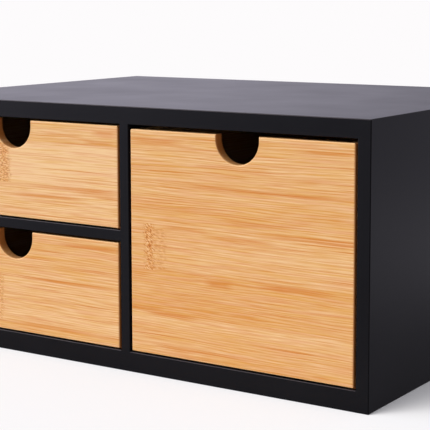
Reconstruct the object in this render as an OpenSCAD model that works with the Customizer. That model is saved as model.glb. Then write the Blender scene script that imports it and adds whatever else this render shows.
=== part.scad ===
// Desktop mini drawers: a black board box with three bamboo drawers.
// Two small drawers stand one above the other in the left bay, and one drawer of full
// height fills the right bay. X runs to the right, Y to the back and Z up. The origin is
// on the underside, at the middle of the width and the depth. All sizes are in millimetres.

/* [Box] */
// Overall width of the box
body_w = 385; // [340:1:480]
// Overall depth of the box
body_d = 285; // [220:1:360]
// Thickness of the top panel
top_t = 12; // [10:0.5:18]
// Thickness of the bottom panel
bottom_t = 13.8; // [10:0.2:18]
// Thickness of the two side panels
side_t = 9; // [8:0.5:15]
// Thickness of the divider between the bays
divider_t = 7.5; // [6:0.5:12]
// Thickness of the shelf between the small drawers
shelf_t = 7.5; // [6:0.5:12]
// Thickness of the back panel
back_t = 3; // [2.5:0.5:5]
// Radius that eases the outer edges of the box and the front edges of its openings
box_ease = 0.6; // [0.3:0.1:1.2]

/* [Bays] */
// Clear width of the right bay
right_bay_w = 171; // [140:1:200]
// Clear height of the upper left bay
upper_bay_h = 71.7; // [55:0.1:100]
// Clear height of the lower left bay
lower_bay_h = 75; // [55:0.1:100]

/* [Box joints] */
// Depth of the housings that hold the divider and the shelf
housing_depth = 2.5; // [2:0.1:3]
// Distance from the front edge to where a housing stops
housing_stop = 10; // [6:1:20]
// Width of the rebate that the back panel lies in
rebate_w = 5; // [4:0.5:5.5]
// Diameter of the dowels between the side panels and the top and bottom
dowel_d = 5; // [4:0.5:6]
// Depth of each dowel hole in the top and bottom panels
dowel_in_panel = 8; // [6:0.5:8.5]
// Depth of each dowel hole in the end of a side panel
dowel_in_side = 15; // [10:1:22]
// Number of dowels along each joint
dowels_per_joint = 3; // [2:1:5]
// Distance from the front or back edge to the first dowel
dowel_margin = 35; // [25:1:50]
// Glue line round a dowel and at its ends
dowel_fit = 0.1; // [0.05:0.05:0.3]

/* [Drawers] */
// Thickness of a drawer front
front_t = 7; // [6:0.5:12]
// Thickness of a drawer side
drawer_side_t = 6; // [5:0.5:8]
// Thickness of a drawer back
drawer_back_t = 6; // [5:0.5:9]
// Thickness of a drawer bottom
drawer_bottom_t = 3; // [2:0.5:4]
// Gap beside a drawer, on each side
side_gap = 1.5; // [1:0.1:3]
// Gap above each small drawer
small_top_gap = 1.5; // [1:0.1:4]
// Gap above the large drawer
large_top_gap = 2.9; // [1:0.1:4]
// Gap below a drawer front
front_bottom_gap = 1.1; // [0.6:0.1:2.5]
// Running clearance below the drawer sides
run_gap = 0.3; // [0.2:0.05:0.5]
// Clearance between a closed drawer and the back panel that stops it
rear_gap = 0.5; // [0.3:0.1:5]
// Radius of the eased edges round a drawer front
front_ease = 1; // [0.5:0.1:2]
// Radius of the four corners of a drawer front, seen from the front
corner_r = 1.4; // [0.6:0.1:3]
// Radius that eases the top edges of the drawer sides and back
rim_ease = 0.8; // [0.3:0.1:1.5]

/* [Finger notch] */
// Radius of the round bottom of the notch
notch_r = 16; // [12:0.5:20]
// Distance from the top of a bay down to the centre of the round
notch_drop = 5.7; // [4:0.1:12]

/* [Drawer joints] */
// Thickness of the lip of the front that hides the end of each side
lip_t = 3; // [2:0.5:4]
// Depth of the rebate at the rear end of each side
rear_rebate = 3; // [2:0.5:4]
// Depth of the groove that holds the bottom
groove_depth = 3; // [2:0.5:4]
// Height of the groove above the lower edge of the sides
groove_up = 6; // [4:0.5:12]
// Clearance of the bottom in its groove
groove_fit = 0.2; // [0.1:0.05:0.4]

/* [Brads] */
// Diameter of a brad's shank
brad_d = 1.2; // [1:0.1:1.6]
// Diameter of a brad's head
brad_head_d = 2.2; // [1.8:0.1:3]
// Thickness of a brad's head
brad_head_t = 0.6; // [0.4:0.1:1]
// Length of a brad
brad_len = 15; // [12:1:20]
// Clearance round a brad
brad_fit = 0.05; // [0.02:0.01:0.1]
// Distance from a corner of the back panel to its first brad
back_brad_margin = 30; // [20:1:60]
// Number of brads along the top and bottom of the back panel
back_brads_x = 5; // [3:1:7]
// Number of brads up each side of the back panel
back_brads_z = 2; // [2:1:4]
// Distance from the edge of a drawer side to its first brad
drawer_brad_margin = 14; // [12:1:20]
// Number of brads in each corner of a small drawer
small_corner_brads = 2; // [2:1:3]
// Number of brads in each corner of the large drawer
large_corner_brads = 4; // [2:1:6]

/* [Hidden] */
$fn = 64;
// Overlap of a cutter past the face that it cuts
cut = 1;

body_h = bottom_t + lower_bay_h + shelf_t + upper_bay_h + top_t;
left_bay_w = body_w - 2 * side_t - divider_t - right_bay_w;
front_y = -body_d / 2;
rear_y = body_d / 2;
inner_rear_y = rear_y - back_t;
ceiling_z = body_h - top_t;
tall_bay_h = ceiling_z - bottom_t;
left_wall_x = -body_w / 2 + side_t;
right_wall_x = body_w / 2 - side_t;
divider_x = left_wall_x + left_bay_w;
shelf_z = bottom_t + lower_bay_h;
side_middle_x = (body_w - side_t) / 2;
drawer_d = body_d - back_t - rear_gap;

// A bay is [centre x, floor z, clear width, clear height, gap above its drawer, corner brads]
left_bay_x = left_wall_x + left_bay_w / 2;
right_bay_x = right_wall_x - right_bay_w / 2;
upper_bay = [left_bay_x, shelf_z + shelf_t, left_bay_w, upper_bay_h, small_top_gap, small_corner_brads];
lower_bay = [left_bay_x, bottom_t, left_bay_w, lower_bay_h, small_top_gap, small_corner_brads];
tall_bay = [right_bay_x, bottom_t, right_bay_w, tall_bay_h, large_top_gap, large_corner_brads];

function bay_x(bay) = bay[0];
function bay_floor(bay) = bay[1];
function bay_w(bay) = bay[2];
function bay_h(bay) = bay[3];
function drawer_w(bay) = bay_w(bay) - 2 * side_gap;
function drawer_top(bay) = bay_h(bay) - bay[4];
function corner_brads(bay) = bay[5];

// Evenly spaced places from low to high
function spread(low, high, count) = [for (i = [0:count - 1]) low + (high - low) * i / (count - 1)];
function corner_brads_z(bay) =
    spread(run_gap + drawer_brad_margin, drawer_top(bay) - drawer_brad_margin, corner_brads(bay));

dowel_ys = spread(front_y + dowel_margin, rear_y - dowel_margin, dowels_per_joint);
back_brad_xs = spread(-body_w / 2 + back_brad_margin, body_w / 2 - back_brad_margin, back_brads_x);
back_brad_zs = spread(back_brad_margin + bottom_t, ceiling_z - back_brad_margin, back_brads_z);

paint = [0.16, 0.16, 0.17];
bamboo = [0.90, 0.70, 0.46];
bamboo_inside = [0.84, 0.66, 0.44];
beech = [0.80, 0.63, 0.45];
steel = [0.72, 0.72, 0.74];

// ---------- shared shapes ----------

// A block given by its lowest and highest corners
module block(low, high) {
    translate(low) cube(high - low);
}

// A rectangle centred on x, standing on y = 0, with its two lower corners rounded
module eased_outline(width, depth, r) {
    translate([-width / 2, r]) square([width, depth - r]);
    translate([r - width / 2, 0]) square([width - 2 * r, r]);
    for (side = [-1, 1])
        translate([side * (width / 2 - r), r]) circle(r);
}

// A rectangle centred on the origin, with all four corners rounded
module round_rectangle(width, depth, r) {
    for (flip = [0, 1])
        mirror([0, flip]) translate([0, -depth / 2]) eased_outline(width, depth / 2, r);
}

// Extrudes an outline along X, with its x to the back and its y upwards
module along_x(length) {
    translate([-length / 2, 0, 0]) rotate([90, 0, 90]) linear_extrude(length) children();
}

// Extrudes an outline backwards from y = 0, with its y upwards
module along_y(length) {
    translate([0, length, 0]) rotate([90, 0, 0]) linear_extrude(length) children();
}

// ---------- box ----------

// The places of the dowels at a height, on both side panels or on one
module at_dowels(z, sides = [-1, 1]) {
    for (side = sides, y = dowel_ys)
        translate([side * side_middle_x, y, z]) children();
}

// Dowel holes across the joint at height z: down into the lower board, up into the upper one
module dowel_holes(z, down, up) {
    at_dowels(z - down) cylinder(d = dowel_d, h = down + up);
}

// The places of the brads round the back panel, each pointing forwards from the rear face
module at_back_brads() {
    for (x = back_brad_xs, z = [bottom_t - rebate_w / 2, ceiling_z + rebate_w / 2])
        translate([x, rear_y, z]) rotate([90, 0, 0]) children();
    for (z = back_brad_zs, x = [left_wall_x - rebate_w / 2, right_wall_x + rebate_w / 2])
        translate([x, rear_y, z]) rotate([90, 0, 0]) children();
}

// Brad with its head flush at z = 0, pointing up
module brad() {
    cylinder(d = brad_head_d, h = brad_head_t);
    cylinder(d = brad_d, h = brad_len);
}

// Hole that a brad leaves, open at its head
module brad_hole() {
    translate([0, 0, -cut]) cylinder(d = brad_head_d + 2 * brad_fit, h = brad_head_t + cut + brad_fit);
    cylinder(d = brad_d + 2 * brad_fit, h = brad_len + brad_fit);
}

// The space that the back panel fills, reaching further back by a cut
module back_rebate(past) {
    block([left_wall_x - rebate_w, inner_rear_y, bottom_t - rebate_w],
          [right_wall_x + rebate_w, rear_y + past, ceiling_z + rebate_w]);
}

// Board over the whole box with its outer face down at z = 0 and its outer edges eased
module outer_board(thickness) {
    intersection() {
        along_x(body_w) eased_outline(body_d, thickness, box_ease);
        translate([0, front_y, 0]) along_y(body_d) eased_outline(body_w, thickness, box_ease);
        linear_extrude(thickness) round_rectangle(body_w, body_d, box_ease);
    }
}

// Stopped housing for the divider, in the top or the bottom panel
module divider_housing(low_z, high_z) {
    block([divider_x, front_y + housing_stop, low_z], [divider_x + divider_t, inner_rear_y, high_z]);
}

// Everything behind the front edges at a height: a housing in a wall, or the end that fills it
module shelf_housing(low_x, high_x) {
    block([low_x, front_y + housing_stop, shelf_z], [high_x, inner_rear_y, shelf_z + shelf_t]);
}

// Section of a cutter that rounds a board's front edge, the same outwards as to the back
module rim_section() {
    difference() {
        translate([-cut, -cut]) square(box_ease + cut);
        translate([box_ease, box_ease]) circle(box_ease);
    }
}

// Cutters that round the front edges of the boards, along each side of every opening
module opening_rims() {
    for (bay = [upper_bay, lower_bay, tall_bay], flip = [0, 1]) {
        in_bay(bay) mirror([flip, 0, 0]) translate([bay_w(bay) / 2, 0, 0])
            linear_extrude(bay_h(bay)) rim_section();
        in_bay(bay) translate([0, 0, flip * bay_h(bay)]) mirror([0, 0, 1 - flip])
            along_x(bay_w(bay)) rim_section();
    }
}

module top_panel() {
    color(paint) difference() {
        translate([0, 0, body_h]) mirror([0, 0, 1]) outer_board(top_t);
        opening_rims();
        divider_housing(ceiling_z - cut, ceiling_z + housing_depth);
        dowel_holes(ceiling_z, cut, dowel_in_panel);
        back_rebate(cut);
        at_back_brads() brad_hole();
    }
}

module bottom_panel() {
    color(paint) difference() {
        outer_board(bottom_t);
        opening_rims();
        divider_housing(bottom_t - housing_depth, bottom_t + cut);
        dowel_holes(bottom_t, dowel_in_panel, cut);
        back_rebate(cut);
        at_back_brads() brad_hole();
    }
}

// Side panel at one end (-1 left, 1 right), standing between the top and the bottom
module side_panel(end) {
    difference() {
        translate([0, 0, bottom_t]) linear_extrude(tall_bay_h) intersection() {
            round_rectangle(body_w, body_d, box_ease);
            translate([end * side_middle_x - side_t / 2, front_y]) square([side_t, body_d]);
        }
        opening_rims();
        dowel_holes(bottom_t, cut, dowel_in_side);
        dowel_holes(ceiling_z, dowel_in_side, cut);
        back_rebate(cut);
        at_back_brads() brad_hole();
    }
}

module left_side_panel() {
    color(paint) difference() {
        side_panel(-1);
        shelf_housing(left_wall_x - housing_depth, left_wall_x + cut);
    }
}

module right_side_panel() {
    color(paint) side_panel(1);
}

module back_panel() {
    color(paint) difference() {
        back_rebate(0);
        at_back_brads() brad_hole();
    }
}

// Divider with tongues in the top and bottom, cut back at the front where the housings stop
module divider() {
    color(paint) difference() {
        union() {
            block([divider_x, front_y, bottom_t], [divider_x + divider_t, inner_rear_y, ceiling_z]);
            divider_housing(bottom_t - housing_depth, ceiling_z + housing_depth);
        }
        opening_rims();
        shelf_housing(divider_x - cut, divider_x + housing_depth);
        at_back_brads() brad_hole();
    }
}

// Shelf with its ends in the left side panel and the divider, cut back the same way
module shelf() {
    color(paint) difference() {
        union() {
            block([left_wall_x, front_y, shelf_z], [divider_x, inner_rear_y, shelf_z + shelf_t]);
            shelf_housing(left_wall_x - housing_depth, divider_x + housing_depth);
        }
        opening_rims();
        at_back_brads() brad_hole();
    }
}

module panel_dowels() {
    dowel_len = dowel_in_panel + dowel_in_side - 2 * dowel_fit;
    color(beech) for (z = [bottom_t - dowel_in_panel, ceiling_z - dowel_in_side])
        at_dowels(z + dowel_fit) cylinder(d = dowel_d - 2 * dowel_fit, h = dowel_len);
}

module back_panel_brads() {
    color(steel) at_back_brads() brad();
}

// ---------- drawers ----------
// A drawer is drawn with the middle of its bay's front sill at the origin, and moved there.

module in_bay(bay) {
    translate([bay_x(bay), front_y, bay_floor(bay)]) children();
}

// A drawer front before its cuts: round corners, and every edge of its face eased
module front_blank(width, low_z, high_z) {
    height = high_z - low_z;
    intersection() {
        translate([0, 0, low_z + height / 2]) along_y(front_t) round_rectangle(width, height, corner_r);
        translate([0, 0, low_z]) linear_extrude(height) eased_outline(width, front_t, front_ease);
        translate([0, 0, low_z + height / 2]) along_x(width)
            mirror([1, -1]) eased_outline(height, front_t, front_ease);
    }
}

// Half of the notch's section: distance from its middle against depth, widening at the face
module notch_section() {
    translate([0, -cut]) square([notch_r, front_t + 2 * cut]);
    difference() {
        translate([0, -cut]) square([notch_r + front_ease, front_ease + cut]);
        translate([notch_r + front_ease, front_ease]) circle(front_ease);
    }
}

// Cutter for the finger notch: a half round, with straight walls up from its middle
module notch_cutter(rise) {
    rotate([-90, 0, 0]) rotate_extrude(angle = 180) notch_section();
    for (side = [0, 1])
        mirror([side, 0, 0]) linear_extrude(rise) notch_section();
}

// Groove that the bottom slides into, all round the inside of the drawer
module bottom_groove(bay) {
    half_w = drawer_w(bay) / 2 - drawer_side_t + groove_depth;
    low_z = run_gap + groove_up;
    block([-half_w, front_t - groove_depth, low_z],
          [half_w, drawer_d - drawer_back_t + groove_depth, low_z + drawer_bottom_t + groove_fit]);
}

// The places of the brads at both ends of both sides, each pointing into the drawer
module at_corner_brads(bay) {
    for (side = [0, 1], y = [(lip_t + front_t) / 2, drawer_d - drawer_back_t / 2], z = corner_brads_z(bay))
        mirror([side, 0, 0]) translate([-drawer_w(bay) / 2, y, z]) rotate([0, 90, 0]) children();
}

// A board's end outline with its running edge below and its top edges eased
module rail_outline(bay, thickness) {
    translate([0, drawer_top(bay)]) mirror([0, 1])
        eased_outline(thickness, drawer_top(bay) - run_gap, rim_ease);
}

module drawer_front(bay) {
    width = drawer_w(bay);
    color(bamboo) in_bay(bay) difference() {
        front_blank(width, front_bottom_gap, drawer_top(bay));
        translate([0, 0, bay_h(bay) - notch_drop]) notch_cutter(notch_drop);
        for (side = [0, 1])
            mirror([side, 0, 0])
                block([width / 2 - drawer_side_t, lip_t, 0], [width, front_t + cut, bay_h(bay)]);
        bottom_groove(bay);
        at_corner_brads(bay) brad_hole();
    }
}

// Left side: its front end behind the lip, and a rebate for the back at its rear end
module drawer_side(bay) {
    middle_x = (drawer_side_t - drawer_w(bay)) / 2;
    difference() {
        translate([middle_x, lip_t, 0]) along_y(drawer_d - lip_t) rail_outline(bay, drawer_side_t);
        block([middle_x + drawer_side_t / 2 - rear_rebate, drawer_d - drawer_back_t, 0],
              [0, drawer_d + cut, bay_h(bay)]);
        bottom_groove(bay);
        at_corner_brads(bay) brad_hole();
    }
}

module drawer_left_side(bay) {
    color(bamboo_inside) in_bay(bay) drawer_side(bay);
}

module drawer_right_side(bay) {
    color(bamboo_inside) in_bay(bay) mirror([1, 0, 0]) drawer_side(bay);
}

module drawer_back(bay) {
    width = drawer_w(bay) - 2 * (drawer_side_t - rear_rebate);
    color(bamboo_inside) in_bay(bay) difference() {
        translate([0, drawer_d - drawer_back_t / 2, 0]) along_x(width) rail_outline(bay, drawer_back_t);
        bottom_groove(bay);
        at_corner_brads(bay) brad_hole();
    }
}

module drawer_bottom(bay) {
    half_w = drawer_w(bay) / 2 - drawer_side_t + groove_depth - groove_fit;
    low_z = run_gap + groove_up;
    color(bamboo_inside) in_bay(bay)
        block([-half_w, front_t - groove_depth + groove_fit, low_z],
              [half_w, drawer_d - drawer_back_t + groove_depth - groove_fit, low_z + drawer_bottom_t]);
}

module drawer_brads(bay) {
    color(steel) in_bay(bay) at_corner_brads(bay) brad();
}

top_panel();
bottom_panel();
left_side_panel();
right_side_panel();
back_panel();
divider();
shelf();
panel_dowels();
back_panel_brads();
drawer_front(upper_bay);  // upper_drawer_front
drawer_left_side(upper_bay);  // upper_drawer_left_side
drawer_right_side(upper_bay);  // upper_drawer_right_side
drawer_back(upper_bay);  // upper_drawer_back
drawer_bottom(upper_bay);  // upper_drawer_bottom
drawer_brads(upper_bay);  // upper_drawer_brads
drawer_front(lower_bay);  // lower_drawer_front
drawer_left_side(lower_bay);  // lower_drawer_left_side
drawer_right_side(lower_bay);  // lower_drawer_right_side
drawer_back(lower_bay);  // lower_drawer_back
drawer_bottom(lower_bay);  // lower_drawer_bottom
drawer_brads(lower_bay);  // lower_drawer_brads
drawer_front(tall_bay);  // large_drawer_front
drawer_left_side(tall_bay);  // large_drawer_left_side
drawer_right_side(tall_bay);  // large_drawer_right_side
drawer_back(tall_bay);  // large_drawer_back
drawer_bottom(tall_bay);  // large_drawer_bottom
drawer_brads(tall_bay);  // large_drawer_brads
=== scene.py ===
from math import pi, radians

import bmesh
import bpy
from mathutils import Matrix, Vector


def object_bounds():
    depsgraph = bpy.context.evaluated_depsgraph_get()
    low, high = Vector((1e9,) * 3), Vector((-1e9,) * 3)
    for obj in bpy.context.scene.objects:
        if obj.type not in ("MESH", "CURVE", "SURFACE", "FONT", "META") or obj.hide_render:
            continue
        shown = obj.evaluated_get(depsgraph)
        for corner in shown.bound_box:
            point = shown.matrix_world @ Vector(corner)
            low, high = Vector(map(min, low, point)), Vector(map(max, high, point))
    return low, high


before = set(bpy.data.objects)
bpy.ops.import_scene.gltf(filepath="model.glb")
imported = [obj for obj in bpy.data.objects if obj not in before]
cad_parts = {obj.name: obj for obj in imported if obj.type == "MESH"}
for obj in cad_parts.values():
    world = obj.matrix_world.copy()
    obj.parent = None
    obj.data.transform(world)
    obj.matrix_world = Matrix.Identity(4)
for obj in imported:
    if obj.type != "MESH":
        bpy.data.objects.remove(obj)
cad_low, cad_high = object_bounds()


# ---------- Boards of the box ----------
# Top, bottom, two sides, divider and shelf are fibreboard sprayed with satin black lacquer, held
# together by dowels and housings. The lacquer is nearly smooth, with a pale sheen where it is seen
# edge on. A greyer colour is painted on the eased edges that face up as their highlight, and a
# near black is painted on the side edges as shade.

MM = 0.001
LACQUER_BLACK = "#111114"
LACQUER_THICK = "#151518"   # where the spray lay thicker
# A painted highlight for the eased edges that face up, and painted shade for the side edges.
LACQUER_HIGHLIGHT_GREY = "#484246"
LACQUER_SHADE_BLACK = "#030304"
SPRAY_CLOUD = 60.0          # mm across a patch of thicker spray
ORANGE_PEEL = 1.4           # mm from dimple to dimple
PEEL_DEPTH = 0.012          # mm
SATIN = 0.30
SATIN_SPREAD = 0.02         # how far the roughness strays either way
LACQUER_SPECULAR = 0.1      # a satin lacquer reflects much less than a gloss one
NOISE_LOW = 0.3             # a noise seldom goes below this
NOISE_MIDDLE = 0.5
NOISE_HIGH = 0.7            # or above this

# Each pair is how much an edge turns up, or to the side, where its colour starts and is full.
# The first two pairs place the painted highlight, and the last two the painted shade.
HIGHLIGHT_OFF_FRONT = (0.1, 0.3)
HIGHLIGHT_OFF_TOP = (0.9, 0.6)
SHADE_OFF_FRONT = (0.1, 0.25)
SHADE_OFF_SIDE = (0.99, 0.95)


def linear(hex_colour):
    """The linear RGBA that a shader socket takes, from an sRGB hex colour."""
    channels = [int(hex_colour[i:i + 2], 16) / 255 for i in (1, 3, 5)]
    return [c / 12.92 if c <= 0.04045 else ((c + 0.055) / 1.055) ** 2.4 for c in channels] + [1.0]


def add(tree, kind, inputs=None, **settings):
    """A node of a kind with its settings, its inputs set to values or linked to other nodes."""
    node = tree.nodes.new("ShaderNode" + kind)
    for name, value in settings.items():
        setattr(node, name, value)
    for key, value in (inputs or {}).items():
        usable = [socket for socket in node.inputs if socket.enabled]
        socket = usable[key] if isinstance(key, int) else next(s for s in usable if s.name == key)
        if isinstance(value, bpy.types.Node):
            value = next(output for output in value.outputs if output.enabled)
        if isinstance(value, bpy.types.NodeSocket):
            tree.links.new(value, socket)
        else:
            socket.default_value = value
    return node


def new_material(name):
    """An empty material, its node tree, and the piece's own coordinates in millimetres."""
    material = bpy.data.materials.new(name)
    material.use_nodes = True
    tree = material.node_tree
    tree.nodes.clear()
    place = add(tree, "TexCoord")
    millimetres = add(tree, "Mapping", {"Vector": place.outputs["Object"], "Scale": [1 / MM] * 3})
    return material, tree, millimetres


def finish_nodes(material, *names):
    """Gives CAD nodes their material."""
    for name in names:
        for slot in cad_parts[name].material_slots:
            slot.material = material


def eased_edge(tree, lean, off_one, off_other):
    """1 on an eased edge, whose normal leans between those of two faces, and 0 on the faces."""
    ends = [add(tree, "MapRange", {"Value": lean, "From Min": start, "From Max": full})
            for start, full in (off_one, off_other)]
    return add(tree, "Math", {0: ends[0], 1: ends[1]}, operation="MULTIPLY")


def lacquer(name, black, thick, roughness, peel):
    """Black lacquer on board, with its dimples peel millimetres apart."""
    material, tree, millimetres = new_material(name)
    clouds = add(tree, "TexNoise", {"Vector": millimetres, "Scale": 1 / SPRAY_CLOUD, "Detail": 3.0})
    patches = add(tree, "MapRange", {"Value": clouds, "From Min": NOISE_LOW, "From Max": NOISE_HIGH})
    paint = add(tree, "Mix", {"Factor": patches, "A": linear(black), "B": linear(thick)}, data_type="RGBA")

    normal = add(tree, "SeparateXYZ", {"Vector": add(tree, "TexCoord").outputs["Normal"]})
    sideways = add(tree, "Math", {0: normal.outputs["X"]}, operation="ABSOLUTE")
    # Painted highlight on the eased edges that face up, and painted shade on the side edges.
    upward_highlight = eased_edge(tree, normal.outputs["Z"], HIGHLIGHT_OFF_FRONT, HIGHLIGHT_OFF_TOP)
    side_shade = eased_edge(tree, sideways, SHADE_OFF_FRONT, SHADE_OFF_SIDE)
    for edge, colour in ((upward_highlight, LACQUER_HIGHLIGHT_GREY), (side_shade, LACQUER_SHADE_BLACK)):
        paint = add(tree, "Mix", {"Factor": edge, "A": paint, "B": linear(colour)}, data_type="RGBA")

    gloss = add(tree, "MapRange", {"Value": patches, "To Min": roughness - SATIN_SPREAD,
                                   "To Max": roughness + SATIN_SPREAD})
    dimples = add(tree, "TexNoise", {"Vector": millimetres, "Scale": 1 / peel, "Detail": 1.0})
    bumps = add(tree, "Bump", {"Height": dimples, "Distance": PEEL_DEPTH * MM})
    shader = add(tree, "BsdfPrincipled", {"Base Color": paint, "Roughness": gloss, "Normal": bumps,
                                          "Specular IOR Level": LACQUER_SPECULAR})
    add(tree, "OutputMaterial", {"Surface": shader})
    return material


satin_lacquer = lacquer("satin black lacquer", LACQUER_BLACK, LACQUER_THICK, SATIN, ORANGE_PEEL)
finish_nodes(satin_lacquer, "top_panel", "bottom_panel", "left_side_panel", "right_side_panel",
             "divider", "shelf")


# ---------- Back panel ----------
# A thin hardboard sheet, rolled with matt black paint and nailed into a rebate all round.
# The roller leaves a coarser stipple than the spray gun, and the paint dries dead matt.

BACK_BLACK = "#131315"
BACK_THICK = "#1b1b1d"
MATT = 0.6
ROLLER_STIPPLE = 2.2        # mm

# Its eased edges get the same painted highlight and painted shade as the lacquer above.
matt_paint = lacquer("matt black paint on hardboard", BACK_BLACK, BACK_THICK, MATT, ROLLER_STIPPLE)
finish_nodes(matt_paint, "back_panel")


# ---------- Dowels ----------
# Bare beech pins, turned to size, glued half into a side and half into the top or the bottom.
# Beech is pinkish tan, with fine darker flecks along the grain, which runs up each pin.

BEECH_TAN = "#d2a67c"
BEECH_FLECK = "#a97850"
BEECH_FLECK_WIDE = 0.5      # mm
BEECH_FLECK_LONG = 5.0      # mm
BEECH_FLECK_STARTS = 0.5    # the noise at which a fleck starts
BEECH_FLECK_FULL = 0.68
BEECH_ROUGH = 0.6

bare_beech, tree, millimetres = new_material("bare turned beech")
fleck_scale = [1 / BEECH_FLECK_WIDE, 1 / BEECH_FLECK_WIDE, 1 / BEECH_FLECK_LONG]
upwards = add(tree, "Mapping", {"Vector": millimetres, "Scale": fleck_scale})
pores = add(tree, "TexNoise", {"Vector": upwards, "Scale": 1.0, "Detail": 2.0})
flecks = add(tree, "MapRange", {"Value": pores, "From Min": BEECH_FLECK_STARTS,
                                "From Max": BEECH_FLECK_FULL})
beech = add(tree, "Mix", {"Factor": flecks, "A": linear(BEECH_TAN), "B": linear(BEECH_FLECK)},
            data_type="RGBA")
shader = add(tree, "BsdfPrincipled", {"Base Color": beech, "Roughness": BEECH_ROUGH})
add(tree, "OutputMaterial", {"Surface": shader})
finish_nodes(bare_beech, "panel_dowels")


# ---------- Brads ----------
# Bright steel wire nails. Their heads lie flush in the back panel and in the drawer sides.
# The head of each is struck flat in a die, so it is bright with a faint mottle.

STEEL_GREY = "#b4b4b6"
STEEL_BRIGHT = 0.25         # roughness of the brightest spots
STEEL_DULL = 0.45           # and of the dullest ones
DIE_MOTTLE = 0.6            # mm

bright_steel, tree, millimetres = new_material("bright drawn steel wire")
mottle = add(tree, "TexNoise", {"Vector": millimetres, "Scale": 1 / DIE_MOTTLE, "Detail": 2.0})
gloss = add(tree, "MapRange", {"Value": mottle, "From Min": NOISE_LOW, "From Max": NOISE_HIGH,
                               "To Min": STEEL_BRIGHT, "To Max": STEEL_DULL})
shader = add(tree, "BsdfPrincipled", {"Base Color": linear(STEEL_GREY), "Metallic": 1.0,
                                      "Roughness": gloss})
add(tree, "OutputMaterial", {"Surface": shader})
finish_nodes(bright_steel, "back_panel_brads", "upper_drawer_brads", "lower_drawer_brads",
             "large_drawer_brads")


# ---------- Drawer fronts ----------
# Bamboo board: slats of cane glued edge to edge with their fibres across the front, planed,
# sanded and sealed with clear satin lacquer. The edges and the finger notch are eased by hand, and
# a paler colour is painted on them as their highlight. End grain drinks the lacquer and goes brown,
# and that brown, also put on the long edges, is painted shade in the gaps and in the notch too.

SLAT_SHIFT = 900.0          # mm at most that a slat's pattern is moved, so that no two match
WANDER = 0.15               # mm that the fibres stray from straight
WANDER_RUN = 120.0          # mm along the cane from one bend to the next
WANDER_WIDE = 12.0          # mm across the fibres that bend together


def grain(tree, board, run, width, detail=2.0):
    """Noise stretched along the fibres: run millimetres long and width millimetres across."""
    stretched = add(tree, "Mapping", {"Vector": board, "Scale": [1 / run, 1 / width, 1 / width]})
    return add(tree, "TexNoise", {"Vector": stretched, "Scale": 1.0, "Detail": detail})


def separate_slats(tree, board, slats, seed):
    """The board's coordinates with the pattern of each slat moved, and a random tone for each.

    slats counts the slats upwards, and seed picks their patterns and tones.
    """
    number = add(tree, "Math", {0: slats}, operation="FLOOR")
    number = add(tree, "Math", {0: number, 1: seed}, operation="ADD")
    chance = add(tree, "TexWhiteNoise", {"W": number}, noise_dimensions="1D")
    cane = add(tree, "VectorMath", {0: chance.outputs["Color"], 1: [SLAT_SHIFT] * 3, 2: board},
               operation="MULTIPLY_ADD")
    bends = grain(tree, cane, WANDER_RUN, WANDER_WIDE, detail=1.0)
    stray = add(tree, "MapRange", {"Value": bends, "From Min": NOISE_LOW, "From Max": NOISE_HIGH,
                                   "To Min": -WANDER, "To Max": WANDER})
    stray = add(tree, "CombineXYZ", {"Z": stray})
    cane = add(tree, "VectorMath", {0: cane, 1: stray}, operation="ADD")
    return cane, chance.outputs["Value"]


CANE_PALE = "#f6ce9a"
CANE_GOLD = "#e5ac6b"
CANE_DEEP = "#dc8f39"
CANE_ROSE = "#e8a678"
CANE_HONEY = "#e5a94e"
PALEST = -0.55              # the depth of tone of the palest cane
DEEPEST = 0.6
GOLD_SHARE = 0.56           # how far from the palest to the deepest tone the cane is golden
BUNDLE = 1.8                # mm from one dark bundle of fibres to the next, coarser than real to show
BUNDLE_SWAY = 9.0           # radians that the bundles stray from even rows
BUNDLE_STRETCH = 17.0       # how much slower they stray along the cane than across it
BUNDLE_DEPTH = 0.37         # how much deeper a bundle is than the cane between bundles
WAVE_PERIOD = pi / 10       # from crest to crest of the wave texture at a scale of 1
FIBRE = 0.4                 # mm across a single fibre, also coarser than real
FIBRE_RUN = 18.0            # mm along it
FIBRE_DEPTH = 0.85          # how much the fibres differ in depth
STRAND = 0.8                # mm across a few fibres of one tone
STRAND_RUN = 60.0           # mm along them
STRAND_DEPTH = 0.25
CLOUD = 12.0                # mm across a broader change of tone
CLOUD_RUN = 300.0           # mm along it
CLOUD_DEPTH = 0.4
LAYER_LOW = 0.2             # the palest of a layer of the grain
LAYER_HIGH = 0.8            # and the deepest
TINT = 2.0                  # mm across a rosy or a honey-coloured bundle
TINT_RUN = 40.0             # mm along it
TINT_SHARE = 0.45           # how far it takes on that colour


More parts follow.
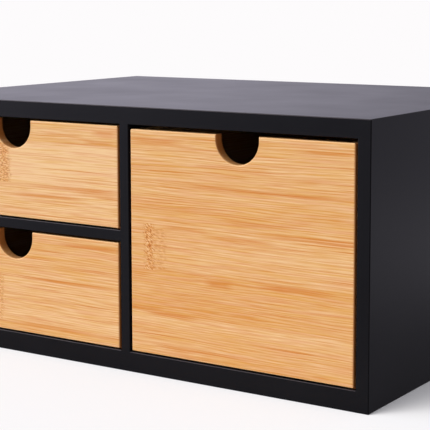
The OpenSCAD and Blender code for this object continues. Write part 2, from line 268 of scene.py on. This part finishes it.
def clean_cane(tree, cane, fibres, depth):
    """Cane of a depth of tone, with its bundles, fibres, strands and broader clouds."""
    drawn_out = add(tree, "Mapping", {"Vector": cane, "Scale": [1 / BUNDLE_STRETCH, 1, 1]})
    bundles = add(tree, "TexWave", {"Vector": drawn_out, "Scale": WAVE_PERIOD / BUNDLE,
                                    "Distortion": BUNDLE_SWAY, "Detail": 1.0}, bands_direction="Z")
    strands = grain(tree, cane, STRAND_RUN, STRAND, detail=1.0)
    clouds = grain(tree, cane, CLOUD_RUN, CLOUD, detail=1.0)
    for layer, share in ((bundles.outputs["Fac"], BUNDLE_DEPTH), (fibres, FIBRE_DEPTH),
                         (strands, STRAND_DEPTH), (clouds, CLOUD_DEPTH)):
        part = add(tree, "MapRange", {"Value": layer, "From Min": LAYER_LOW, "From Max": LAYER_HIGH,
                                      "To Min": -share / 2, "To Max": share / 2})
        depth = add(tree, "Math", {0: depth, 1: part}, operation="ADD")
    depth = add(tree, "MapRange", {"Value": depth, "From Min": PALEST, "From Max": DEEPEST})
    colour = add(tree, "ValToRGB", {"Fac": depth})
    tones = colour.color_ramp.elements
    tones[0].color = linear(CANE_PALE)
    tones[1].color = linear(CANE_DEEP)
    tones.new(GOLD_SHARE).color = linear(CANE_GOLD)

    tint = grain(tree, cane, TINT_RUN, TINT)
    for full, hue in ((NOISE_HIGH, CANE_ROSE), (NOISE_LOW, CANE_HONEY)):
        tinted = add(tree, "MapRange", {"Value": tint, "From Min": NOISE_MIDDLE, "From Max": full,
                                        "To Max": TINT_SHARE})
        colour = add(tree, "Mix", {"Factor": tinted, "A": colour, "B": linear(hue)}, data_type="RGBA")
    return colour


STREAK_BROWN = "#d47b1d"
STREAK = 0.8                # mm across a dark streak
STREAK_RUN = 80.0           # mm along it
STREAK_FULL = 0.72          # the noise at which a streak is full
STREAK_SHARE = 0.8          # how far it then takes on the brown
BAND = 3.0                  # mm across a band that has more or fewer streaks
BAND_RUN = 120.0            # mm along it
PLAIN_BAND = 0.4            # the noise of a band with few streaks
STREAKY_BAND = 0.65         # and of one with many
FEW_STREAKS = 0.63          # the noise at which a streak starts in a band with few
MANY_STREAKS = 0.52         # and in one with many
GROUP_CORE = 0.4            # the share of a group of streaks, out from its middle, that is full
GROUP_SHARE = 0.55          # how far its lines take on the brown
BESIDE_LINE = 0.35          # the noise beside a line of a group
ON_LINE = 0.6               # and on it
GROUP_GROUND = 0.5          # how brown a group is beside its lines, where they are 1


def streaked_cane(tree, board, cane, colour, groups):
    """Cane with dark streaks in bands, and with groups of streaks in their own places.

    groups holds the x, z, length and height of each group, in millimetres.
    """
    bands = grain(tree, cane, BAND_RUN, BAND)
    streaks = grain(tree, cane, STREAK_RUN, STREAK)
    starts = add(tree, "MapRange", {"Value": bands, "From Min": PLAIN_BAND, "From Max": STREAKY_BAND,
                                    "To Min": FEW_STREAKS, "To Max": MANY_STREAKS})
    brown = add(tree, "MapRange", {"Value": streaks, "From Min": starts, "From Max": STREAK_FULL,
                                   "To Max": STREAK_SHARE})
    colour = add(tree, "Mix", {"Factor": brown, "A": colour, "B": linear(STREAK_BROWN)}, data_type="RGBA")

    near = 0.0
    for x, z, length, height in groups:
        place = add(tree, "Mapping", {"Vector": board, "Location": [-2 * x / length, 0, -2 * z / height],
                                      "Scale": [2 / length, 0, 2 / height]})
        place = add(tree, "VectorMath", {0: place}, operation="ABSOLUTE")
        place = add(tree, "SeparateXYZ", {"Vector": place})
        away = add(tree, "Math", {0: place.outputs["X"], 1: place.outputs["Z"]}, operation="MAXIMUM")
        group = add(tree, "MapRange", {"Value": away, "From Min": 1.0, "From Max": GROUP_CORE,
                                       "To Max": GROUP_SHARE})
        near = add(tree, "Math", {0: group, 1: near}, operation="MAXIMUM")
    lines = add(tree, "MapRange", {"Value": streaks, "From Min": BESIDE_LINE, "From Max": ON_LINE,
                                   "To Min": GROUP_GROUND})
    brown = add(tree, "Math", {0: near, 1: lines}, operation="MULTIPLY")
    return add(tree, "Mix", {"Factor": brown, "A": colour, "B": linear(STREAK_BROWN)}, data_type="RGBA")


FLECK_BROWN = "#b05a0c"
FLECK = 0.8                 # mm across a fleck at a joint of the cane
FLECK_DARK = 0.38           # the noise in the heart of a fleck
FLECK_RIM = 0.49            # and on its rim
FLECK_CLEAR = 0.64          # and clear of flecks
RAGGED = 2.0                # mm that the sides of a joint stray
RAGGED_RUN = 5.0            # mm along the fibres from one stray place to the next
RAGGED_WIDE = 1.6           # mm across them
JOINT_EDGE = 0.7            # the share of its width, out from its middle, where a joint starts
JOINT_CORE = 0.3            # and where it is full


def cane_joint(tree, board, colour, x, width, low, high, run, lean, strength):
    """A joint of the cane: a band of flecks at x, from low to high, all in millimetres.

    The flecks are run long and lean by some degrees, and strength is how far they cover the cane.
    """
    axes = add(tree, "SeparateXYZ", {"Vector": board})
    strays = grain(tree, board, RAGGED_RUN, RAGGED_WIDE)
    ragged = add(tree, "MapRange", {"Value": strays, "From Min": NOISE_LOW, "From Max": NOISE_HIGH,
                                    "To Min": x - RAGGED, "To Max": x + RAGGED})
    away = add(tree, "Math", {0: axes.outputs["X"], 1: ragged}, operation="SUBTRACT")
    away = add(tree, "Math", {0: away}, operation="ABSOLUTE")
    near = add(tree, "MapRange", {"Value": away, "From Min": width * JOINT_EDGE,
                                  "From Max": width * JOINT_CORE, "To Max": strength})
    within = add(tree, "Math", {0: axes.outputs["Z"], 1: (low + high) / 2, 2: (high - low) / 2},
                 operation="COMPARE")
    patch = add(tree, "Math", {0: near, 1: within}, operation="MULTIPLY")
    leaning = add(tree, "Mapping", {"Vector": board, "Rotation": [0, radians(lean), 0]})
    flecks = add(tree, "ValToRGB", {"Fac": grain(tree, leaning, run, FLECK)})
    tones = flecks.color_ramp.elements
    tones[0].position = FLECK_DARK
    tones[0].color = linear(FLECK_BROWN)
    tones[1].position = FLECK_CLEAR
    tones[1].color = linear(CANE_PALE)
    tones.new(FLECK_RIM).color = linear(CANE_DEEP)
    return add(tree, "Mix", {"Factor": patch, "A": colour, "B": flecks}, data_type="RGBA")


# A painted highlight for eased edges, and a brown that is end grain's own colour and also painted shade.
ARRIS_HIGHLIGHT = "#fcc98c"
END_GRAIN_AND_SHADE_BROWN = "#a9662f"
ARRIS_HIGHLIGHT_SHARE = 0.7           # how far an eased edge takes on its pale colour

# Each pair is how much a surface turns to the face, or to the end, where its colour starts and is full.
HIGHLIGHT_OFF_EDGE = (0.1, 0.35)
HIGHLIGHT_OFF_FACE = (0.99, 0.9)
HIGHLIGHT_OFF_END = (0.5, 0.2)
BROWN_AT_END = (0.35, 0.9)
BROWN_AT_EDGE = (0.1, 0.0)


def edge_highlight_and_brown(tree, colour, turn, edge_brown):
    """A painted highlight on eased edges, and brown on end grain and, by edge_brown, on long edges: end
    grain's own colour and painted shade.
    """
    normal = add(tree, "Mapping", {"Vector": add(tree, "TexCoord").outputs["Normal"], "Rotation": turn},
                 vector_type="VECTOR")
    normal = add(tree, "VectorMath", {0: normal}, operation="ABSOLUTE")
    normal = add(tree, "SeparateXYZ", {"Vector": normal})
    to_end, to_face = normal.outputs["X"], normal.outputs["Y"]

    # Painted highlight on the eased edges.
    eased = eased_edge(tree, to_face, HIGHLIGHT_OFF_EDGE, HIGHLIGHT_OFF_FACE)
    off_end = add(tree, "MapRange", {"Value": to_end, "From Min": HIGHLIGHT_OFF_END[0],
                                     "From Max": HIGHLIGHT_OFF_END[1], "To Max": ARRIS_HIGHLIGHT_SHARE})
    eased = add(tree, "Math", {0: eased, 1: off_end}, operation="MULTIPLY")
    colour = add(tree, "Mix", {"Factor": eased, "A": colour, "B": linear(ARRIS_HIGHLIGHT)}, data_type="RGBA")

    # Brown on end grain and on the long edges: end grain's own colour, and also painted shade in the gaps
    # and the notch.
    end = add(tree, "MapRange", {"Value": to_end, "From Min": BROWN_AT_END[0],
                                 "From Max": BROWN_AT_END[1]})
    edge = add(tree, "MapRange", {"Value": to_face, "From Min": BROWN_AT_EDGE[0],
                                  "From Max": BROWN_AT_EDGE[1], "To Max": edge_brown})
    brown = add(tree, "Math", {0: end, 1: edge}, operation="MAXIMUM")
    return add(tree, "Mix", {"Factor": brown, "A": colour, "B": linear(END_GRAIN_AND_SHADE_BROWN)}, data_type="RGBA")


SLAT_SPREAD = 0.4           # how much the slats differ in depth
GLUE_LINE = 0.3             # mm
GLUE_SHARE = 0.35           # how far a glue line takes on the brown of the streaks
BAMBOO_SATIN = 0.50
BAMBOO_SPREAD = 0.04        # how far its roughness strays either way
BAMBOO_SPECULAR = 0.25
FRONT_RELIEF = 0.002        # mm, the fibres that stand up under the lacquer


def bamboo(name, seed, slat, first_joint, turn=(0, 0, 0), tone=0.0, edge_brown=0.0, cane_joints=(),
           streak_groups=()):
    """Laminated bamboo, in slats slat millimetres wide, with a glue line at first_joint millimetres.

    seed picks the patterns of the slats, and turn brings the fibres along X and the slats' width
    along Z. tone is how much deeper the board is, and edge_brown how far its long edges take on the brown
    of painted shade.
    cane_joints and streak_groups hold the ones that the board has, for the functions above.
    """
    material, tree, millimetres = new_material(name)
    board = add(tree, "Mapping", {"Vector": millimetres, "Rotation": turn})
    up = add(tree, "SeparateXYZ", {"Vector": board}).outputs["Z"]
    above = add(tree, "Math", {0: up, 1: first_joint}, operation="SUBTRACT")
    slats = add(tree, "Math", {0: above, 1: slat}, operation="DIVIDE")
    cane, chance = separate_slats(tree, board, slats, seed)
    fibres = grain(tree, cane, FIBRE_RUN, FIBRE, detail=1.0)
    depth = add(tree, "Math", {0: chance, 1: SLAT_SPREAD, 2: tone}, operation="MULTIPLY_ADD")

    colour = clean_cane(tree, cane, fibres, depth)
    colour = streaked_cane(tree, board, cane, colour, streak_groups)
    to_line = add(tree, "Math", {0: above, 1: slat / 2}, operation="PINGPONG")
    glue = add(tree, "MapRange", {"Value": to_line, "From Min": GLUE_LINE, "From Max": 0.0,
                                  "To Max": GLUE_SHARE})
    colour = add(tree, "Mix", {"Factor": glue, "A": colour, "B": linear(STREAK_BROWN)}, data_type="RGBA")
    for joint in cane_joints:
        colour = cane_joint(tree, board, colour, **joint)
    colour = edge_highlight_and_brown(tree, colour, turn, edge_brown)

    gloss = add(tree, "MapRange", {"Value": fibres, "From Min": NOISE_LOW, "From Max": NOISE_HIGH,
                                   "To Min": BAMBOO_SATIN - BAMBOO_SPREAD,
                                   "To Max": BAMBOO_SATIN + BAMBOO_SPREAD})
    relief = add(tree, "Bump", {"Height": fibres, "Distance": FRONT_RELIEF * MM})
    shader = add(tree, "BsdfPrincipled", {"Base Color": colour, "Roughness": gloss, "Normal": relief,
                                          "Specular IOR Level": BAMBOO_SPECULAR})
    add(tree, "OutputMaterial", {"Surface": shader})
    return material


# The long edges' brown is painted shade, where they lie in the gaps.
EDGE_BROWN = 0.6            # how brown the long edges of a front are

# Each group of streaks is its x, z, length and height, in millimetres.
upper_bamboo = bamboo(
    "clear lacquered bamboo, upper front",
    seed=190, slat=29.8, first_joint=151.8, tone=-0.58, edge_brown=EDGE_BROWN,
    cane_joints=[dict(x=-98, width=10, low=122, high=150, run=2.2, lean=0, strength=0.7)],
    streak_groups=[(-12, 154, 30, 3.5), (-45, 158, 40, 3), (-8, 161, 24, 4), (-40, 121, 110, 4),
                   (-15, 118.5, 50, 4), (-60, 114, 80, 3.5)])
lower_bamboo = bamboo(
    "clear lacquered bamboo, lower front",
    seed=594, slat=32.0, first_joint=54.4, tone=-0.32, edge_brown=EDGE_BROWN,
    cane_joints=[dict(x=-103, width=5, low=22, high=54, run=2.2, lean=0, strength=0.45)],
    streak_groups=[(-20, 82, 60, 5), (-40, 54.5, 100, 3), (-60, 21, 80, 4)])
large_bamboo = bamboo(
    "clear lacquered bamboo, large front",
    seed=1674, slat=29.6, first_joint=102.8, tone=-0.2, edge_brown=EDGE_BROWN,
    cane_joints=[dict(x=29, width=7, low=72, high=103, run=2.2, lean=-30, strength=0.8),
                 dict(x=37, width=10, low=73, high=100, run=3.0, lean=-12, strength=0.3)],
    streak_groups=[(76, 130.4, 36, 4.5), (125, 130, 180, 3.5), (110, 108.5, 60, 3.5),
                   (150, 103.6, 80, 4), (56, 102, 40, 3.5), (100, 98.5, 60, 3), (141, 71, 60, 5),
                   (84, 68, 24, 7), (46, 43, 46, 5), (24, 46, 34, 4), (164, 157.5, 50, 3),
                   (34, 158, 50, 5)])
finish_nodes(upper_bamboo, "upper_drawer_front")
finish_nodes(lower_bamboo, "lower_drawer_front")
finish_nodes(large_bamboo, "large_drawer_front")


# ---------- Drawer sides, backs and bottoms ----------
# Thinner bamboo boards, sanded and left plain, glued and nailed behind the fronts, and a sheet of
# bamboo plywood that slides into a groove all round before the back goes on. Without lacquer the
# cane stays paler.

ALONG_DRAWER = (0, 0, -pi / 2)
LYING_FLAT = (pi / 2, 0, 0)
BARE_TONE = -0.5
BOX_SLAT = 22.0             # mm
BOX_JOINT = 8.0             # mm up to a glue line of the sides and the back
SHEET_SLAT = 25.0           # mm
SHEET_JOINT = 0.0           # mm back to a glue line of the bottom
BACK_SEED = 100             # what a drawer's back adds to its seed
SHEET_SEED = 200            # and its bottom

for drawer, seed in (("upper_drawer", 5), ("lower_drawer", 9), ("large_drawer", 13)):
    side_bamboo = bamboo("sanded bamboo, sides of " + drawer, seed, BOX_SLAT, BOX_JOINT,
                         turn=ALONG_DRAWER, tone=BARE_TONE)
    back_bamboo = bamboo("sanded bamboo, back of " + drawer, seed + BACK_SEED, BOX_SLAT, BOX_JOINT,
                         tone=BARE_TONE)
    sheet_bamboo = bamboo("bamboo plywood, bottom of " + drawer, seed + SHEET_SEED, SHEET_SLAT,
                          SHEET_JOINT, turn=LYING_FLAT, tone=BARE_TONE)
    finish_nodes(side_bamboo, drawer + "_left_side", drawer + "_right_side")
    finish_nodes(back_bamboo, drawer + "_back")
    finish_nodes(sheet_bamboo, drawer + "_bottom")


# ---------- Floor ----------
# A sheet of matt white card under the box. The camera sees it nearly as white as the room, except
# in the shadow, which falls to the right and to the back between the front right corner and the
# back left one. In reflections it is greyer, like the room on that side.

CARD = 1.4                  # m
ROOM_WHITE = "#fdfbfc"
CARD_WHITE = "#f9faff"      # a little cool, against the warm light off the bamboo
MIRRORED_CARD = "#d3d0dc"
SHADOW_ENDS = radians(30)   # from the line of the front or of the left side, round its corner
SHADOW_FULL = radians(92)
ROOM_SHARE = 0.7            # how far the card takes on the room's white, out of the shadow

floor_mesh = bpy.data.meshes.new("floor")
floor = bpy.data.objects.new("floor", floor_mesh)
bpy.context.scene.collection.objects.link(floor)
sheet = bmesh.new()
bmesh.ops.create_grid(sheet, x_segments=1, y_segments=1, size=CARD / 2)
sheet.to_mesh(floor_mesh)
sheet.free()

matt_white, tree, millimetres = new_material("matt white card")
shadow = 1.0
for corner, out, on in (((cad_high[0], cad_low[1]), "X", "Y"), ((cad_low[0], cad_high[1]), "Y", "X")):
    from_corner = add(tree, "VectorMath", {0: millimetres, 1: [corner[0] / MM, corner[1] / MM, 0.0]},
                      operation="SUBTRACT")
    from_corner = add(tree, "SeparateXYZ", {"Vector": from_corner})
    angle = add(tree, "Math", {0: from_corner.outputs[on], 1: from_corner.outputs[out]},
                operation="ARCTAN2")
    inside = add(tree, "MapRange", {"Value": angle, "From Min": SHADOW_ENDS, "From Max": SHADOW_FULL},
                 interpolation_type="SMOOTHSTEP")
    shadow = add(tree, "Math", {0: inside, 1: shadow}, operation="MULTIPLY")
clear = add(tree, "MapRange", {"Value": shadow, "To Min": ROOM_SHARE, "To Max": 0.0})
ray = add(tree, "LightPath")
seen = add(tree, "Math", {0: ray.outputs["Is Camera Ray"], 1: clear}, operation="MULTIPLY")
white = add(tree, "Mix", {"Factor": ray.outputs["Is Glossy Ray"], "A": linear(CARD_WHITE),
                          "B": linear(MIRRORED_CARD)}, data_type="RGBA")
card = add(tree, "BsdfPrincipled", {"Base Color": white, "Roughness": 1.0, "Specular IOR Level": 0.0})
room_lit = add(tree, "Emission", {"Color": linear(ROOM_WHITE)})
surface = add(tree, "MixShader", {0: seen, 1: card, 2: room_lit})
add(tree, "OutputMaterial", {"Surface": surface})
floor_mesh.materials.append(matt_white)


# ---------- Room and lamp ----------
# A white room that lights the box softly from all round, and a broad lamp above, to the left.
# In reflections the room is dimmer and a little blue. There it has a bright window at the front
# left, and behind the box it gets lighter to the left.

ROOM_LIGHT = 0.6            # what the room sends to a dull surface, where white is 1
ROOM_BLUE = "#f1ecff"
DIM_SIDE = 0.46             # the right of the room in reflections
WINDOW = (-0.48, -0.72, 2.35)     # how far left it starts and is full, and how bright it is there
BACK_WALL = (-0.28, -0.55, 1.03)  # the same for the wall behind the box
WALLS_BLEND = 0.3           # how far to the front and the back of the box the two blend
LAMP_LIGHT = 0.4            # what the lamp adds on a level surface
LAMP_ANGLE = 38             # degrees across the lamp
TO_LAMP = Vector((-0.62, -0.42, 0.66)).normalized()

world = bpy.data.worlds.new("white room")
bpy.context.scene.world = world
world.use_nodes = True
tree = world.node_tree
tree.nodes.clear()
ray = add(tree, "LightPath")
direction = add(tree, "SeparateXYZ", {"Vector": add(tree, "TexCoord").outputs["Generated"]})
window, back_wall = [
    add(tree, "MapRange", {"Value": direction.outputs["X"], "From Min": start, "From Max": full,
                           "To Min": DIM_SIDE, "To Max": bright})
    for start, full, bright in (WINDOW, BACK_WALL)]
behind = add(tree, "MapRange", {"Value": direction.outputs["Y"], "From Min": -WALLS_BLEND,
                                "From Max": WALLS_BLEND})
mirrored = add(tree, "Mix", {"Factor": behind, "A": window, "B": back_wall})
strength = add(tree, "Mix", {"Factor": ray.outputs["Is Glossy Ray"], "A": ROOM_LIGHT, "B": mirrored})
seen = add(tree, "Math", {0: ray.outputs["Is Camera Ray"], 1: ray.outputs["Is Transmission Ray"]},
           operation="MAXIMUM")
strength = add(tree, "Mix", {"Factor": seen, "A": strength, "B": 1.0})
colour = add(tree, "Mix", {"Factor": ray.outputs["Is Glossy Ray"], "A": linear(ROOM_WHITE),
                           "B": linear(ROOM_BLUE)}, data_type="RGBA")
room = add(tree, "Background", {"Color": colour, "Strength": strength})
add(tree, "OutputWorld", {"Surface": room})

sun = bpy.data.lights.new("broad lamp", "SUN")
sun.energy = LAMP_LIGHT * pi / TO_LAMP.z
sun.angle = radians(LAMP_ANGLE)
lamp = bpy.data.objects.new("broad lamp", sun)
lamp.rotation_euler = TO_LAMP.to_track_quat("Z", "Y").to_euler()
bpy.context.scene.collection.objects.link(lamp)


# ---------- Camera ----------
# It stands to the right of the box and a little above it, and looks at its front right corner.
# The lens is long, and is shifted down so that the camera tilts less and upright edges stay so.

PICTURE = 430               # pixels across
FOCAL_LENGTH = 1383.97      # pixels
CENTRE_ROW = 150            # row of the picture that the lens points at
CAMERA_PLACE = (0.56444, -0.87422, 0.25317)     # m
CAMERA_YAW = radians(33.423)
CAMERA_PITCH = radians(6.382)
CAMERA_ROLL = radians(0.122)

lens = bpy.data.cameras.new("camera")
lens.lens = FOCAL_LENGTH / PICTURE * lens.sensor_width
lens.shift_y = (CENTRE_ROW - PICTURE / 2) / PICTURE
camera = bpy.data.objects.new("camera", lens)
camera.matrix_world = (Matrix.Translation(CAMERA_PLACE) @ Matrix.Rotation(CAMERA_YAW, 4, "Z")
                       @ Matrix.Rotation(pi / 2 - CAMERA_PITCH, 4, "X")
                       @ Matrix.Rotation(-CAMERA_ROLL, 4, "Z"))
bpy.context.scene.collection.objects.link(camera)
bpy.context.scene.camera = camera

bpy.context.scene.view_settings.view_transform = "Standard"
